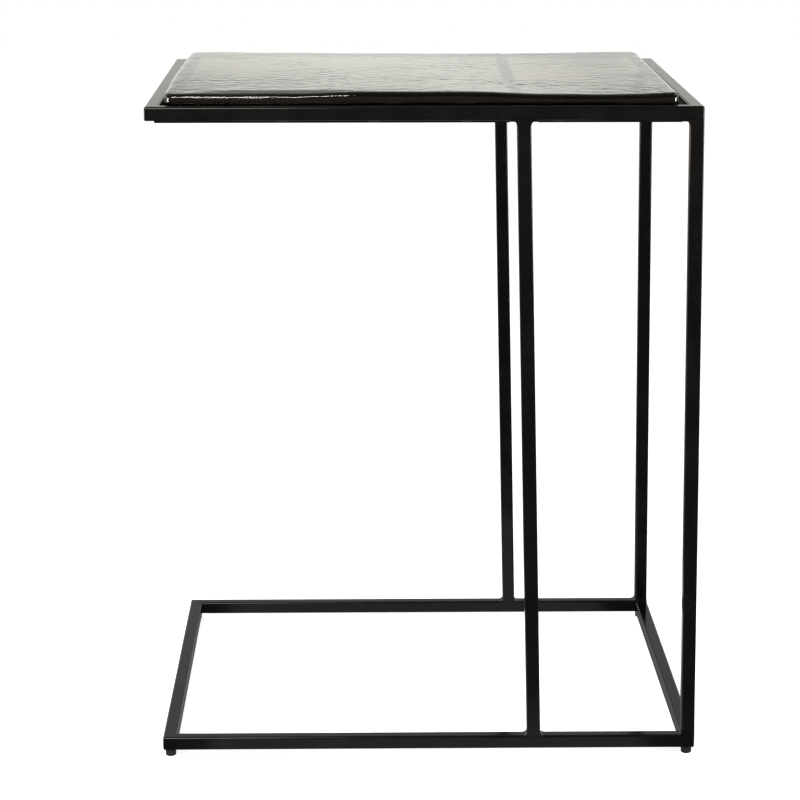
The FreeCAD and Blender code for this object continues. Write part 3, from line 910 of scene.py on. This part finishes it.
for corner in CORNERS:
    low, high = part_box("glide_" + corner)
    place = ((low.x + high.x) / 2, (low.y + high.y) / 2, 0)
    for source, node, finish in ((foot, "glide_", "foot_black"), (stud, "glide_stud_", "zinc_stud")):
        made = copy_to(source, source.name + "_" + corner, place)
        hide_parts(node + corner)
        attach(made, "foot_" + corner)
bpy.data.objects.remove(foot)
bpy.data.objects.remove(stud)
print("four feet with studs")

# %% [markdown]
# ## Bumpers
# The glass would rattle on bare steel, so it lies on small clear bumpers of soft plastic. Each is a
# flat disc with a rounded upper edge.

# %% Clear soft plastic
bumper_plastic = bpy.data.materials.new("clear_soft_plastic")
bumper_plastic.use_nodes = True
tree = bumper_plastic.node_tree
skin = tree.nodes["Principled BSDF"]
skin.inputs["Transmission Weight"].default_value = 0.85
skin.inputs["IOR"].default_value = 1.49
place = tree.nodes.new("ShaderNodeTexCoord")
haze = tree.nodes.new("ShaderNodeTexNoise")
haze.inputs["Scale"].default_value = 600.0
dull = tree.nodes.new("ShaderNodeMapRange")
dull.inputs["To Min"].default_value = 0.18
dull.inputs["To Max"].default_value = 0.38
tone = tree.nodes.new("ShaderNodeMix")
tone.data_type = "RGBA"
tone.inputs["A"].default_value = (0.74, 0.75, 0.72, 1)
tone.inputs["B"].default_value = (0.84, 0.85, 0.83, 1)
tree.links.new(place.outputs["Object"], haze.inputs["Vector"])
tree.links.new(haze.outputs["Fac"], dull.inputs["Value"])
tree.links.new(haze.outputs["Fac"], tone.inputs["Factor"])
tree.links.new(dull.outputs[0], skin.inputs["Roughness"])
tree.links.new(tone.outputs["Result"], skin.inputs["Base Color"])
print("made", bumper_plastic.name)

# %% Four bumpers
pad_low, pad_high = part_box("glass_pads")
PAD_RADIUS = 3 * MM
PAD_HEIGHT = pad_high.z - pad_low.z
PAD_ROUND = 0.6 * PAD_HEIGHT
bumpers = []
for side_x in (pad_low.x + PAD_RADIUS, pad_high.x - PAD_RADIUS):
    for side_y in (pad_low.y + PAD_RADIUS, pad_high.y - PAD_RADIUS):
        bpy.ops.object.select_all(action="DESELECT")
        bpy.ops.mesh.primitive_cylinder_add(vertices=40, radius=PAD_RADIUS, depth=PAD_HEIGHT,
                                            location=(side_x, side_y, pad_low.z + PAD_HEIGHT / 2))
        bumper = bpy.context.object
        bpy.ops.object.transform_apply(location=True, rotation=True, scale=True)
        bpy.ops.object.mode_set(mode="EDIT")
        pick(bumper, "EDGE", lambda e: level(e, pad_high.z))
        bpy.ops.mesh.bevel(offset=PAD_ROUND, segments=4, affect="EDGES")
        bpy.ops.object.mode_set(mode="OBJECT")
        bumpers.append(bumper)
for bumper in bumpers:
    bumper.select_set(True)
bpy.context.view_layer.objects.active = bumpers[0]
bpy.ops.object.join()
bumper = bpy.context.object
bumper.name = "clear_bumpers"
bpy.ops.object.shade_smooth_by_angle(angle=math.radians(35))
bumper.data.materials.clear()
bumper.data.materials.append(bumper_plastic)
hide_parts("glass_pads")
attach(bumper, "frame")
print("bumpers:", len(bumper.data.polygons), "faces")

# %% End
print("scene finished")
